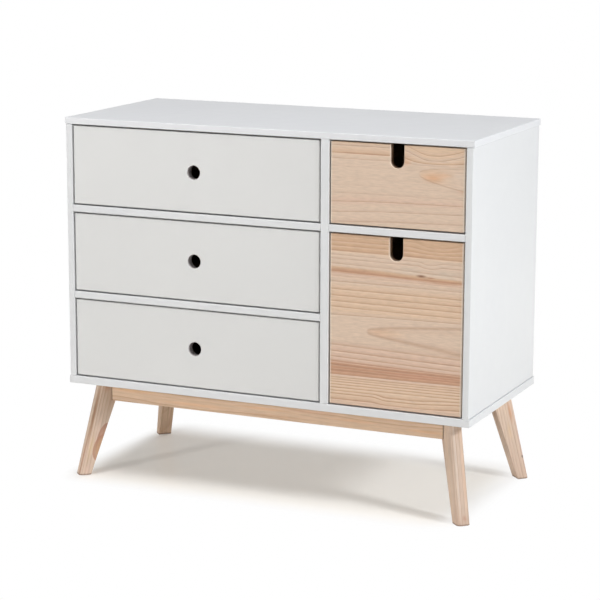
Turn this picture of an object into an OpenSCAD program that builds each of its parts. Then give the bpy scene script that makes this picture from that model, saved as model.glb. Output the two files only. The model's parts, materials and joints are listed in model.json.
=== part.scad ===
// Drawer cabinet: a lacquered case with five inset drawers on a splayed pine base.
// Origin on the floor under the middle of the case, +X to the right, +Y to the back, +Z up.

/* [Case] */
// Width over the top and bottom panels
cabinet_w = 1000; // [860:5:1300]
// Depth from the front edges to the back edges
cabinet_d = 450; // [400:5:560]
// Height from the underside of the bottom panel to the top surface
case_h = 628; // [520:1:760]
// Clear width of the right-hand bay
right_bay_w = 318; // [260:1:380]
// Thickness of the top panel
top_t = 15; // [14:0.5:22]
// Thickness of the bottom panel
bottom_t = 18; // [16:0.5:25]
// Thickness of the two side panels
side_t = 15; // [14:0.5:22]
// Thickness of the upright divider
divider_t = 20; // [19:0.5:26]
// Thickness of the front rails between the drawer rows
rail_t = 16; // [14:0.5:20]
// Depth of the front rails
rail_d = 70; // [60:1:110]
// Overhang of the top and bottom panels past the side panels
overhang = 3; // [1:0.5:6]
// Thickness of the back panel
back_t = 4; // [3:0.5:6]
// Depth of the rebate that the back panel sits in
rebate = 8; // [5:0.5:9]
// Setback of the back panel from the case's back edges
back_inset = 1.5; // [0.5:0.5:4]
// Rounding of the case panels' edges
case_arris = 1.5; // [0.5:0.1:2.5]

/* [Drawer fronts] */
// Thickness of the drawer fronts
front_t = 18; // [16:0.5:22]
// Gap all round each front
front_gap = 3.5; // [1.5:0.1:4]
// Setback of the fronts from the case's front edges
front_recess = 2; // [0:0.5:5]
// Rounding of the fronts' edges
front_arris = 2; // [0.5:0.1:3]
// Diameter of the finger holes
hole_d = 32; // [25:1:45]
// Rounding at the mouth of the finger holes
hole_round = 0.8; // [0.3:0.1:4]
// Width of the finger notches
notch_w = 32.5; // [24:0.5:45]
// Height of the finger notches
notch_h = 51.5; // [35:0.5:70]
// Rounding at the mouth of the finger notches
notch_round = 1.2; // [0.3:0.1:4]

/* [Drawer boxes] */
// Thickness of the drawer sides
box_side_t = 12; // [11:0.5:16]
// Thickness of the drawer backs
box_back_t = 12; // [10:0.5:16]
// Thickness of the drawer bottoms
box_bottom_t = 5; // [3:0.5:8]
// Height of the drawer bottom above the lower edge of the sides
groove_up = 12; // [8:0.5:20]
// Depth of the grooves for the drawer bottom
groove_d = 6; // [4:0.5:7]
// Play of the drawer bottom at the ends of its grooves
groove_play = 0.5; // [0.2:0.1:0.8]
// Height of the drawer sides' lower edges above the front's lower edge
box_drop = 12; // [10:1:20]
// Drop from the top of the front to the top of the drawer sides
box_head = 30; // [10:1:60]
// Space between a drawer's back end and the back panel
box_tail = 24.5; // [10:0.5:60]

/* [Runners] */
// Space between a drawer side and the case for one runner
runner_w = 12.5; // [12.4:0.1:15]
// Thickness of the runners' sheet steel
steel_t = 1.2; // [1:0.1:1.3]
// Height of the case channel
channel_h = 28; // [27:0.5:34]
// Diameter of the rollers
roller_d = 21; // [18:0.5:22]
// Width of the rollers
roller_w = 8; // [6:0.1:8.2]
// Diameter of the roller axles
axle_d = 5; // [4:0.5:7]
// Diameter of the axles' heads
axle_head_d = 9; // [8:0.5:12]
// Thickness of the axles' heads
axle_head_t = 1; // [0.6:0.1:1.2]
// Gap between the rollers and what they run on
roller_play = 0.3; // [0.2:0.05:0.4]
// Clearance between an axle and its roller, on the radius
axle_play = 0.05; // [0.02:0.01:0.1]
// Gap between the edge of a flange and the upright steel beside it
flange_play = 0.4; // [0.3:0.05:0.6]
// Distance from the end of a steel profile to its roller's axle
axle_inset = 14; // [12:1:20]
// Gap from a drawer front to the case channel behind it
channel_gap = 2; // [1:0.5:6]
// Width of the flange that carries the drawer side
seat_w = 10; // [6:1:14]
// Length of drawer that stays in the case when it is fully open
kept_in = 100; // [80:5:160]
// Height of the stop lug in the case channel
lug_h = 3; // [2:0.5:5]
// Length of the stop lug along the channel
lug_t = 2; // [1:0.5:4]

/* [Base] */
// Height of the legs
leg_h = 226; // [160:1:280]
// Thickness of the leg planks
leg_t = 32; // [26:1:38]
// Width of a leg at the top, along the diagonal
leg_top_w = 54; // [48:1:66]
// Width of a leg at the floor, along the diagonal
leg_foot_w = 28; // [22:1:40]
// Inset of a leg's outer edge at the top, from each face of the case
leg_top_inset = 50; // [44:1:58]
// Inset of a leg's outer edge at the floor, from each face of the case
leg_foot_inset = 11; // [4:1:30]
// Rounding of the legs' outer edges
nose_r = 10; // [3:0.5:12]
// Height of the aprons
apron_h = 48; // [42:1:70]
// Thickness of the aprons
apron_t = 20; // [18:0.5:24]
// Setback of the aprons from the faces of the case
apron_setback = 57; // [52:1:64]
// Gap between the ends of an apron and the legs
apron_play = 1; // [0.3:0.1:2]
// Height of the corner blocks
block_h = 36; // [34:1:42]
// Reach of a corner block behind its leg
block_reach = 40; // [30:1:60]

/* [Fasteners] */
// Diameter of the case dowels
dowel_d = 8; // [6:1:10]
// Length of the case dowels
dowel_l = 28; // [20:1:35]
// Depth of a dowel in the face of the panel that it enters
dowel_in = 8; // [6:0.5:9]
// Distance from a panel's front or back edge to its nearest dowel
dowel_inset = 72; // [50:1:90]
// Distance from a rail's front edge to its first dowel
rail_dowel_y = 20; // [14:1:26]
// Diameter of the leg bolts
bolt_d = 6; // [5:1:8]
// Length of a leg bolt inside the leg
bolt_in_leg = 25; // [15:1:30]
// Drop from the top of the leg to the upper bolt
bolt_top = 10; // [9:1:13]
// Distance between the two bolts of a leg
bolt_pitch = 18; // [14:1:20]
// Length of a leg bolt past its nut
bolt_proud = 2; // [0.5:0.5:5]
// Width of the nuts across their flats
nut_w = 10; // [10:0.5:13]
// Thickness of the nuts
nut_t = 5; // [4:0.5:7]
// Thickness of the washers
washer_t = 1.2; // [0.8:0.1:2]
// Diameter of the washers
washer_d = 14; // [14:0.5:16]
// Diameter of the screws that hold the base to the bottom panel
screw_d = 4; // [3:0.5:5]
// Length of those screws inside the bottom panel
screw_in = 12; // [8:0.5:14]
// Distance of those screws from the inner end of their corner block
screw_inset = 14; // [10:1:20]
// Distance between the two screws of a corner block
screw_pitch = 44; // [30:1:60]
// Clearance of the fasteners in their holes, on the radius
fastener_play = 0.05; // [0.02:0.01:0.2]

/* [Hidden] */
$fn = 64;
EPS = 0.5;
LACQUER = [0.90, 0.90, 0.89];
FRONT_LACQUER = [0.84, 0.84, 0.83];
PINE = [0.82, 0.66, 0.49];
PINE_PALE = [0.86, 0.74, 0.58];
HARDBOARD = [0.86, 0.85, 0.82];
PLY = [0.84, 0.74, 0.58];
STEEL_WHITE = [0.88, 0.88, 0.87];
ZINC = [0.72, 0.73, 0.75];
NYLON = [0.93, 0.93, 0.90];
BEECH = [0.80, 0.64, 0.46];

// The case
front_y = -cabinet_d / 2;
back_y = cabinet_d / 2;
floor_z = leg_h + bottom_t;
ceiling_z = leg_h + case_h - top_t;
inner_x = cabinet_w / 2 - overhang - side_t;
divider_x = inner_x - right_bay_w - divider_t;
back_panel_y = back_y - back_inset - back_t;
rail_rows = [1, 2];
row_h = (ceiling_z - floor_z - len(rail_rows) * rail_t) / (len(rail_rows) + 1);
function row_z(row) = floor_z + row * (row_h + rail_t);
function rail_z(row) = row_z(row) - rail_t;

// The bays: name, left edge, right edge, lowest row, highest row, finger hole or notch
LEFT_BAY = [-inner_x, divider_x];
RIGHT_BAY = [divider_x + divider_t, inner_x];
DRAWERS = [
    ["top_left", LEFT_BAY, 2, 2, "hole"],
    ["middle_left", LEFT_BAY, 1, 1, "hole"],
    ["bottom_left", LEFT_BAY, 0, 0, "hole"],
    ["small_right", RIGHT_BAY, 2, 2, "notch"],
    ["tall_right", RIGHT_BAY, 0, 1, "notch"]
];
function bay_mid(i) = (DRAWERS[i][1][0] + DRAWERS[i][1][1]) / 2;
function bay_w(i) = DRAWERS[i][1][1] - DRAWERS[i][1][0];
function bay_low(i) = row_z(DRAWERS[i][2]);
function bay_high(i) = row_z(DRAWERS[i][3]) + row_h;
function has_notch(i) = DRAWERS[i][4] == "notch";

// The drawer boxes
box_y = front_y + front_recess + front_t;
box_l = back_panel_y - box_tail - box_y;
bottom_in = groove_d - groove_play;
function front_low(i) = bay_low(i) + front_gap;
function front_high(i) = bay_high(i) - front_gap;
function box_w(i) = bay_w(i) - 2 * runner_w;
function box_low(i) = front_low(i) + box_drop;
function box_high(i) = front_high(i) - box_head;
function bottom_z(i) = box_low(i) + groove_up;

// The runners
travel = box_l - kept_in;
channel_y = box_y + channel_gap;
channel_l = box_l - channel_gap;
flange_w = runner_w - 2 * steel_t - flange_play;
rear_axle_y = box_y + box_l - axle_inset;
case_axle_y = channel_y + axle_inset;
profile_h = 2 * steel_t + 2 * roller_play + roller_d;
lug_reach = sqrt(pow(roller_d / 2, 2) - pow(roller_d / 2 + roller_play - lug_h, 2));
lug_y = rear_axle_y - travel - lug_reach - roller_play - lug_t;
function runner_z(i) = box_low(i) - steel_t;
function axle_z(i) = runner_z(i) + steel_t + roller_play + roller_d / 2;

// The base, with each leg drawn from its corner of the case inwards along the diagonal
foot_out = leg_foot_inset * sqrt(2);
top_out = leg_top_inset * sqrt(2);
lean = atan((top_out - foot_out) / leg_h);
block_low = leg_h - block_h;
block_end = top_out + leg_top_w + block_reach;
apron_corner = (apron_setback + apron_t) * sqrt(2);
block_half_w = block_end - apron_corner;
leg_flat = leg_t / 2 * sqrt(2);
head_t = screw_d / 2;
screw_x = block_end - screw_inset;
bolt_rows = [leg_h - bolt_top, leg_h - bolt_top - bolt_pitch];
function leg_inner(z) = foot_out + leg_foot_w + (top_out + leg_top_w - foot_out - leg_foot_w) * z / leg_h;

// The fasteners' places
dowel_y = [front_y + dowel_inset, 0, back_y - dowel_inset];
upright_x = [-inner_x - side_t / 2, divider_x + divider_t / 2, inner_x + side_t / 2];
rail_dowels_y = [front_y + rail_dowel_y, front_y + rail_d - rail_dowel_y];

CASE_NODES = ["top_panel", "bottom_panel", "left_side_panel", "right_side_panel", "divider",
    "upper_left_rail", "lower_left_rail", "right_rail", "back_panel", "case_dowels", "case_runners"];
LEGS = [
    ["front_left_leg", -1, -1, 45],
    ["front_right_leg", 1, -1, 135],
    ["back_left_leg", -1, 1, -45],
    ["back_right_leg", 1, 1, -135]
];
BASE_NODES = ["front_apron", "back_apron", "corner_blocks", "base_fasteners"];
DRAWER_PIECES = ["front", "left_side", "right_side", "back", "bottom", "runners", "case_rollers",
    "drawer_rollers"];

// Rectangle with its low corner at the origin and round corners
module round_rect(w, h, r) {
    translate([r, 0]) square([w - 2 * r, h]);
    translate([0, r]) square([w, h - 2 * r]);
    for (x = [r, w - r]) {
        for (y = [r, h - r]) {
            translate([x, y]) circle(r);
        }
    }
}

// Board from a low corner to a high corner, with every edge eased by r
module board(low, high, r) {
    size = high - low;
    translate(low) intersection() {
        linear_extrude(size[2]) round_rect(size[0], size[1], r);
        rotate([90, 0, 90]) linear_extrude(size[0]) round_rect(size[1], size[2], r);
        translate([0, size[1], 0]) rotate([90, 0, 0]) linear_extrude(size[1])
            round_rect(size[0], size[2], r);
    }
}

// Plain box from a low corner to a high corner
module block(low, high) {
    translate(low) cube(high - low);
}

// Space that the back panel takes in the case
module back_space() {
    block([-inner_x - rebate, back_panel_y, floor_z - rebate],
        [inner_x + rebate, back_y + EPS, ceiling_z + rebate]);
}

// Dowels that stand in the top or the bottom panel, in the ends of the uprights
module upright_dowels(face_z, up, r) {
    for (x = upright_x) {
        for (y = dowel_y) {
            translate([x, y, up ? face_z - dowel_l + dowel_in : face_z - dowel_in])
                cylinder(h = dowel_l, r = r);
        }
    }
}

// Dowels in both ends of one rail
module rail_dowels(bay, row, r) {
    for (y = rail_dowels_y) {
        translate([0, y, rail_z(row) + rail_t / 2]) {
            translate([bay[0] - dowel_in, 0, 0]) rotate([0, 90, 0]) cylinder(h = dowel_l, r = r);
            translate([bay[1] + dowel_in, 0, 0]) rotate([0, -90, 0]) cylinder(h = dowel_l, r = r);
        }
    }
}

module all_rail_dowels(r) {
    for (row = rail_rows) {
        rail_dowels(LEFT_BAY, row, r);
    }
    rail_dowels(RIGHT_BAY, rail_rows[1], r);
}

module top_panel() {
    color(LACQUER) difference() {
        board([-cabinet_w / 2, front_y, ceiling_z], [cabinet_w / 2, back_y, ceiling_z + top_t], case_arris);
        back_space();
        upright_dowels(ceiling_z, true, dowel_d / 2 + fastener_play);
    }
}

module bottom_panel() {
    color(LACQUER) difference() {
        board([-cabinet_w / 2, front_y, leg_h], [cabinet_w / 2, back_y, floor_z], case_arris);
        back_space();
        upright_dowels(floor_z, false, dowel_d / 2 + fastener_play);
        base_screws(fastener_play);
    }
}

// Side panel or divider, with the holes for every dowel that enters it
module upright(x, t, depth_end) {
    difference() {
        board([x, front_y, floor_z], [x + t, depth_end, ceiling_z], case_arris);
        back_space();
        upright_dowels(ceiling_z, true, dowel_d / 2 + fastener_play);
        upright_dowels(floor_z, false, dowel_d / 2 + fastener_play);
        all_rail_dowels(dowel_d / 2 + fastener_play);
    }
}

module left_side_panel() {
    color(LACQUER) upright(-inner_x - side_t, side_t, back_y);
}

module right_side_panel() {
    color(LACQUER) upright(inner_x, side_t, back_y);
}

module divider() {
    color(LACQUER) upright(divider_x, divider_t, back_panel_y);
}

module rail(bay, row) {
    color(LACQUER) difference() {
        board([bay[0], front_y, rail_z(row)], [bay[1], front_y + rail_d, rail_z(row) + rail_t], case_arris);
        rail_dowels(bay, row, dowel_d / 2 + fastener_play);
    }
}

module back_panel() {
    color(HARDBOARD) block([-inner_x - rebate, back_panel_y, floor_z - rebate],
        [inner_x + rebate, back_panel_y + back_t, ceiling_z + rebate]);
}

module case_dowels() {
    color(BEECH) {
        upright_dowels(ceiling_z, true, dowel_d / 2);
        upright_dowels(floor_z, false, dowel_d / 2);
        all_rail_dowels(dowel_d / 2);
    }
}

// Outline of a hole's wall and its rounded mouth: x is across, y is the depth behind the front
module mouth_outline(half_w, r, both_sides) {
    difference() {
        union() {
            translate([both_sides ? -half_w : 0, -EPS])
                square([both_sides ? 2 * half_w : half_w, front_t + 2 * EPS]);
            translate([both_sides ? -half_w - r : 0, -EPS])
                square([both_sides ? 2 * half_w + 2 * r : half_w + r, r + EPS]);
        }
        for (side = both_sides ? [-1, 1] : [1]) {
            translate([side * (half_w + r), r]) circle(r);
        }
    }
}

// Round hole through a front, with its axis along y from the front face
module round_mouth(r_hole, r_mouth) {
    rotate([-90, 0, 0]) rotate_extrude() mouth_outline(r_hole, r_mouth, false);
}

// Finger notch, open upwards, with the front's top edge at z = 0
module notch_mouth() {
    low = notch_w / 2 - notch_h;
    translate([0, 0, low]) {
        round_mouth(notch_w / 2, notch_round);
        linear_extrude(-low + EPS) mouth_outline(notch_w / 2, notch_round, true);
    }
}

module drawer_front(i) {
    half_w = bay_w(i) / 2 - front_gap;
    color(has_notch(i) ? PINE : FRONT_LACQUER) translate([bay_mid(i), 0, 0]) difference() {
        board([-half_w, front_y + front_recess, front_low(i)], [half_w, box_y, front_high(i)], front_arris);
        bottom_space(i, groove_play);
        translate([0, front_y + front_recess, 0]) {
            if (has_notch(i)) {
                translate([0, 0, front_high(i)]) notch_mouth();
            } else {
                translate([0, 0, (front_low(i) + front_high(i)) / 2]) round_mouth(hole_d / 2, hole_round);
            }
        }
    }
}

// The drawer bottom, or with play the grooves for it, about the middle of its bay
module bottom_space(i, play) {
    half_w = box_w(i) / 2 - box_side_t + bottom_in + play;
    block([-half_w, box_y - bottom_in - play, bottom_z(i)],
        [half_w, box_y + box_l + (play > 0 ? EPS : 0), bottom_z(i) + box_bottom_t]);
}

module drawer_side(i, side) {
    outer = box_w(i) / 2;
    color(PINE_PALE) translate([bay_mid(i), 0, 0]) difference() {
        mirror([side < 0 ? 1 : 0, 0, 0])
            block([outer - box_side_t, box_y, box_low(i)], [outer, box_y + box_l, box_high(i)]);
        bottom_space(i, groove_play);
    }
}

module drawer_back(i) {
    half_w = box_w(i) / 2 - box_side_t;
    color(PINE_PALE) translate([bay_mid(i), 0, 0])
        block([-half_w, box_y + box_l - box_back_t, bottom_z(i) + box_bottom_t],
            [half_w, box_y + box_l, box_high(i)]);
}

module drawer_bottom(i) {
    color(PLY) translate([bay_mid(i), 0, 0]) bottom_space(i, 0);
}

// Both hands of a piece of runner, about the middle of its bay
module both_hands(i) {
    translate([bay_mid(i), 0, 0]) {
        children();
        mirror([1, 0, 0]) children();
    }
}

// Axle with a head, from a face at x, in the direction dir
module axle(x, y, z, dir) {
    reach = 2 * roller_play + roller_w;
    translate([x, y, z]) rotate([0, 90 * dir, 0]) {
        translate([0, 0, -steel_t / 2]) cylinder(h = reach + steel_t / 2 + axle_head_t, d = axle_d);
        translate([0, 0, reach]) cylinder(h = axle_head_t, d = axle_head_d);
    }
}

// Bored roller on such an axle
module roller(x, y, z, dir) {
    translate([x, y, z]) rotate([0, 90 * dir, 0]) translate([0, 0, roller_play]) difference() {
        cylinder(h = roller_w, d = roller_d);
        translate([0, 0, -EPS]) cylinder(h = roller_w + 2 * EPS, d = axle_d + 2 * axle_play);
    }
}

// Channel on the case's wall, open towards the drawer, with the front axle and the stop lug
module channel(i) {
    wall = bay_w(i) / 2;
    low = runner_z(i);
    end_y = channel_y + channel_l;
    block([wall - steel_t, channel_y, low], [wall, end_y, low + channel_h]);
    block([wall - steel_t - flange_w, channel_y, low], [wall, end_y, low + steel_t]);
    block([wall - steel_t - flange_w, channel_y, low + channel_h - steel_t],
        [wall, end_y, low + channel_h]);
    block([wall - steel_t - flange_w, lug_y, low], [wall, lug_y + lug_t, low + steel_t + lug_h]);
    axle(wall - steel_t, case_axle_y, axle_z(i), -1);
}

module case_runners() {
    color(STEEL_WHITE) {
        for (i = [0 : len(DRAWERS) - 1]) {
            both_hands(i) channel(i);
        }
    }
}

// Profile under and beside a drawer side, with its flange over the rollers and the rear axle
module drawer_profile(i) {
    wall = box_w(i) / 2;
    low = runner_z(i);
    end_y = box_y + box_l;
    block([wall, box_y, low], [wall + steel_t, end_y, low + profile_h]);
    block([wall - seat_w, box_y, low], [wall + steel_t, end_y, low + steel_t]);
    block([wall, box_y, low + profile_h - steel_t], [wall + steel_t + flange_w, end_y, low + profile_h]);
    axle(wall + steel_t, rear_axle_y, axle_z(i), 1);
}

module drawer_runners(i) {
    color(STEEL_WHITE) both_hands(i) drawer_profile(i);
}

module case_rollers(i) {
    color(NYLON) both_hands(i) roller(bay_w(i) / 2 - steel_t, case_axle_y, axle_z(i), -1);
}

module drawer_rollers(i) {
    color(NYLON) both_hands(i) roller(box_w(i) / 2 + steel_t, rear_axle_y, axle_z(i), 1);
}

// Places a child, drawn along +X, at a corner of the case and turns it inwards along the diagonal
module at_corner(leg) {
    translate([leg[1] * cabinet_w / 2, leg[2] * cabinet_d / 2, 0]) rotate([0, 0, leg[3]]) children();
}

// Region of a leg between its outer edge and its inner edge, t thick
module leg_wedge(outer_foot, outer_top, t) {
    rotate([90, 0, 0]) linear_extrude(t, center = true) polygon([
        [outer_foot, 0],
        [foot_out + leg_foot_w, 0],
        [top_out + leg_top_w, leg_h],
        [outer_top, leg_h]
    ]);
}

// Bar along a leg's outer edge, with that edge rounded
module nose_bar() {
    length = leg_h / cos(lean);
    translate([foot_out, 0, 0]) rotate([0, lean, 0]) translate([0, -leg_t / 2, -leg_foot_w])
        linear_extrude(length + 2 * leg_foot_w) {
            translate([nose_r, 0]) square([2 * leg_top_w, leg_t]);
            round_rect(2 * leg_top_w, leg_t, nose_r);
        }
}

module leg(corner) {
    color(PINE) difference() {
        at_corner(corner) intersection() {
            leg_wedge(foot_out, top_out, leg_t);
            nose_bar();
        }
        at_corner(corner) corner_bolts(fastener_play);
    }
}

// The two bolts of one leg, level along the diagonal, with play added on the radius for their holes
module corner_bolts(play) {
    for (z = bolt_rows) {
        start = leg_inner(z) - bolt_in_leg;
        length = block_end + washer_t + nut_t + bolt_proud - start;
        translate([start, 0, z]) rotate([0, 90, 0]) cylinder(h = length, d = bolt_d + 2 * play);
    }
}

module corner_nuts() {
    for (z = bolt_rows) {
        translate([block_end, 0, z]) rotate([0, 90, 0]) difference() {
            union() {
                cylinder(h = washer_t, d = washer_d);
                translate([0, 0, washer_t]) cylinder(h = nut_t, d = nut_w / cos(30), $fn = 6);
            }
            translate([0, 0, -EPS]) cylinder(h = washer_t + nut_t + 2 * EPS, d = bolt_d + 2 * fastener_play);
        }
    }
}

// Screws up through the corner blocks into the bottom panel, with their countersunk heads
module base_screws(play) {
    for (corner = LEGS) {
        at_corner(corner) {
            for (y = [-screw_pitch / 2, screw_pitch / 2]) {
                translate([screw_x, y, block_low]) {
                    cylinder(h = block_h + screw_in, d = screw_d + 2 * play);
                    cylinder(h = head_t, d1 = 2 * screw_d + 2 * play, d2 = screw_d + 2 * play);
                }
            }
        }
    }
}

module base_fasteners() {
    color(ZINC) {
        base_screws(0);
        for (corner = LEGS) {
            at_corner(corner) {
                corner_bolts(0);
                corner_nuts();
            }
        }
    }
}

// Block behind a leg, cut to the leg's leaning inner edge and as wide as reaches the apron
module corner_block() {
    slot_end = apron_corner + leg_t / 2;
    difference() {
        translate([0, 0, block_low]) linear_extrude(block_h) polygon([
            [foot_out, -leg_t / 2],
            [slot_end, -leg_t / 2],
            [block_end, -block_half_w],
            [block_end, block_half_w],
            [slot_end, leg_t / 2],
            [foot_out, leg_t / 2]
        ]);
        leg_wedge(-leg_foot_w, -leg_foot_w, leg_t + 2 * EPS);
        corner_bolts(fastener_play);
    }
}

module corner_blocks() {
    color(PINE_PALE) difference() {
        for (corner = LEGS) {
            at_corner(corner) corner_block();
        }
        base_screws(fastener_play);
    }
}

// Apron along x at the front, with its ends cut along the wide faces of the legs
module apron() {
    outer_y = front_y + apron_setback;
    inner_y = outer_y + apron_t;
    face = cabinet_w / 2 + front_y - leg_flat - apron_play * sqrt(2);
    translate([0, 0, leg_h - apron_h]) linear_extrude(apron_h) polygon([
        [outer_y - face, outer_y],
        [face - outer_y, outer_y],
        [face - inner_y, inner_y],
        [inner_y - face, inner_y]
    ]);
}

module front_apron() {
    color(PINE) apron();
}

module back_apron() {
    color(PINE) mirror([0, 1, 0]) apron();
}

top_panel();
bottom_panel();
left_side_panel();
right_side_panel();
divider();
rail(LEFT_BAY, rail_rows[1]);  // upper_left_rail
rail(LEFT_BAY, rail_rows[0]);  // lower_left_rail
rail(RIGHT_BAY, rail_rows[1]);  // right_rail
back_panel();
case_dowels();
case_runners();
front_apron();
back_apron();
corner_blocks();
base_fasteners();
for (corner = LEGS) {
    leg(corner);
}
for (i = [0 : len(DRAWERS) - 1]) {
    drawer_front(i);
    drawer_side(i, -1);
    drawer_side(i, 1);
    drawer_back(i);
    drawer_bottom(i);
    drawer_runners(i);
    case_rollers(i);
    drawer_rollers(i);
}
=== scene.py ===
# Looks of the drawer cabinet: finishes, small fasteners, floor, light and camera.
import json
import math

import bmesh
import bpy
from mathutils import Matrix, Vector

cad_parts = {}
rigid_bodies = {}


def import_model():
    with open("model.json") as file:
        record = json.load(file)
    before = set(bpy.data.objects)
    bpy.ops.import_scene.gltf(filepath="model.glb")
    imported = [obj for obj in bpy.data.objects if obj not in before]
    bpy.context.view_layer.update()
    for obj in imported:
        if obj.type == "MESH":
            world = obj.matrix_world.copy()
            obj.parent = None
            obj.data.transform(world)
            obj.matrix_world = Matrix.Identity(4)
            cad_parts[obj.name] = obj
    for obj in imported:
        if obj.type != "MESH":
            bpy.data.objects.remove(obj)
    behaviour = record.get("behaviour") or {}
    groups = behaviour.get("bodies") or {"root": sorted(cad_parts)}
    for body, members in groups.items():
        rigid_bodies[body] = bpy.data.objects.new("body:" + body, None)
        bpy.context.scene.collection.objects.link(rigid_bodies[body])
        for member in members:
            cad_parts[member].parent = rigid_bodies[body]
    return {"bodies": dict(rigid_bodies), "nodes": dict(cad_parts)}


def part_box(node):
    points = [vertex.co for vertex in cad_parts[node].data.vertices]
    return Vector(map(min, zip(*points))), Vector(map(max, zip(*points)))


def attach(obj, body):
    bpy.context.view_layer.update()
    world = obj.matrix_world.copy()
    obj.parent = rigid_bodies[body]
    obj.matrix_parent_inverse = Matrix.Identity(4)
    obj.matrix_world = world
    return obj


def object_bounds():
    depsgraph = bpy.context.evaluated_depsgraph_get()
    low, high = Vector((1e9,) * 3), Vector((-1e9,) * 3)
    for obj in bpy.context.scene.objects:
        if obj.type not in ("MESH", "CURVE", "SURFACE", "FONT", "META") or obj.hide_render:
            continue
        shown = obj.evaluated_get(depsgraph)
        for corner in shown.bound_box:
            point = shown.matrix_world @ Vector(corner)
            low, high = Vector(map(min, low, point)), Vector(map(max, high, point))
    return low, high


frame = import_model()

cad_low, cad_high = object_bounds()
nodes = frame["nodes"]
scene = bpy.context.scene
X, Y, Z = Vector((1, 0, 0)), Vector((0, 1, 0)), Vector((0, 0, 1))
DRAWERS = [body[:-len("_drawer")] for body in frame["bodies"] if body.endswith("_drawer")]

# Camera: where it stands, how it is turned, in degrees, its lens, in millimetres, and how far
# it sees
CAMERA_AT = Vector((2.0041, -4.4749, 1.4311))
CAMERA_YAW = -24.185
CAMERA_PITCH = 11.587
CAMERA_ROLL = 0.17
CAMERA_LENS = 128.21
CAMERA_SENSOR = 36.0
CAMERA_FAR = 100

# Studio: the reach of the floor and the dome, in metres, the floor's finish, and the light from
# all round
STAGE_REACH = 9.0
DISC_CORNERS, DOME_SEGMENTS, DOME_RINGS = 96, 64, 32
FLOOR_COLOUR, FLOOR_ROUGHNESS, FLOOR_SPECULAR = (0.905, 0.88, 0.835, 1), 0.3, 0.2
WORLD_LIGHT = 0.325

# Round softboxes, which all face one point: place, size in metres, watts, colour
LIGHTS_AIM = Vector((0, 0, 0.3))
SOFTBOXES = {
    "right_softbox": ((2.96, -0.69, 1.72), 0.55, 55.5, (0.94, 0.97, 1.0)),
    "front_softbox": ((-1.59, -2.86, 1.10), 0.2, 25.5, (1.0, 1.0, 1.0)),
    "overhead_softbox": ((-0.57, -0.94, 3.42), 1.68, 48.5, (1.0, 1.0, 1.0)),
    "back_softbox": ((0.35, 3.24, 1.17), 1.53, 70.5, (1.0, 1.0, 1.0)),
}

# The floor fades to pure white round the feet: where the fade starts and how far it reaches, on
# a card that lies just over the floor. The fade starts inside the footprint, so it also paints
# light over the floor's shade under the cabinet's edges
CLEAR_LEFT, CLEAR_RIGHT, CLEAR_FRONT, CLEAR_BACK = -0.455, 0.385, -0.19, 0.17
FADE_LEFT, FADE_RIGHT, FADE_FRONT, FADE_BACK = 0.08, 0.115, 0.1, 0.17
CARD_HEIGHT = 0.0002

# Nearly all noise lies in this range, so it is what gets spread over a wanted one
NOISE_LOW, NOISE_HIGH = 0.3, 0.7


def srgb(red, green, blue):
    """Linear colour of an 8-bit screen colour."""
    def linear(level):
        part = level / 255
        return part / 12.92 if part <= 0.04045 else ((part + 0.055) / 1.055) ** 2.4
    return (linear(red), linear(green), linear(blue), 1.0)


def grey(level):
    """Linear colour between black, 0, and white, 1."""
    return (level, level, level, 1)


PURE_WHITE, PURE_BLACK = grey(1), grey(0)


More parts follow.
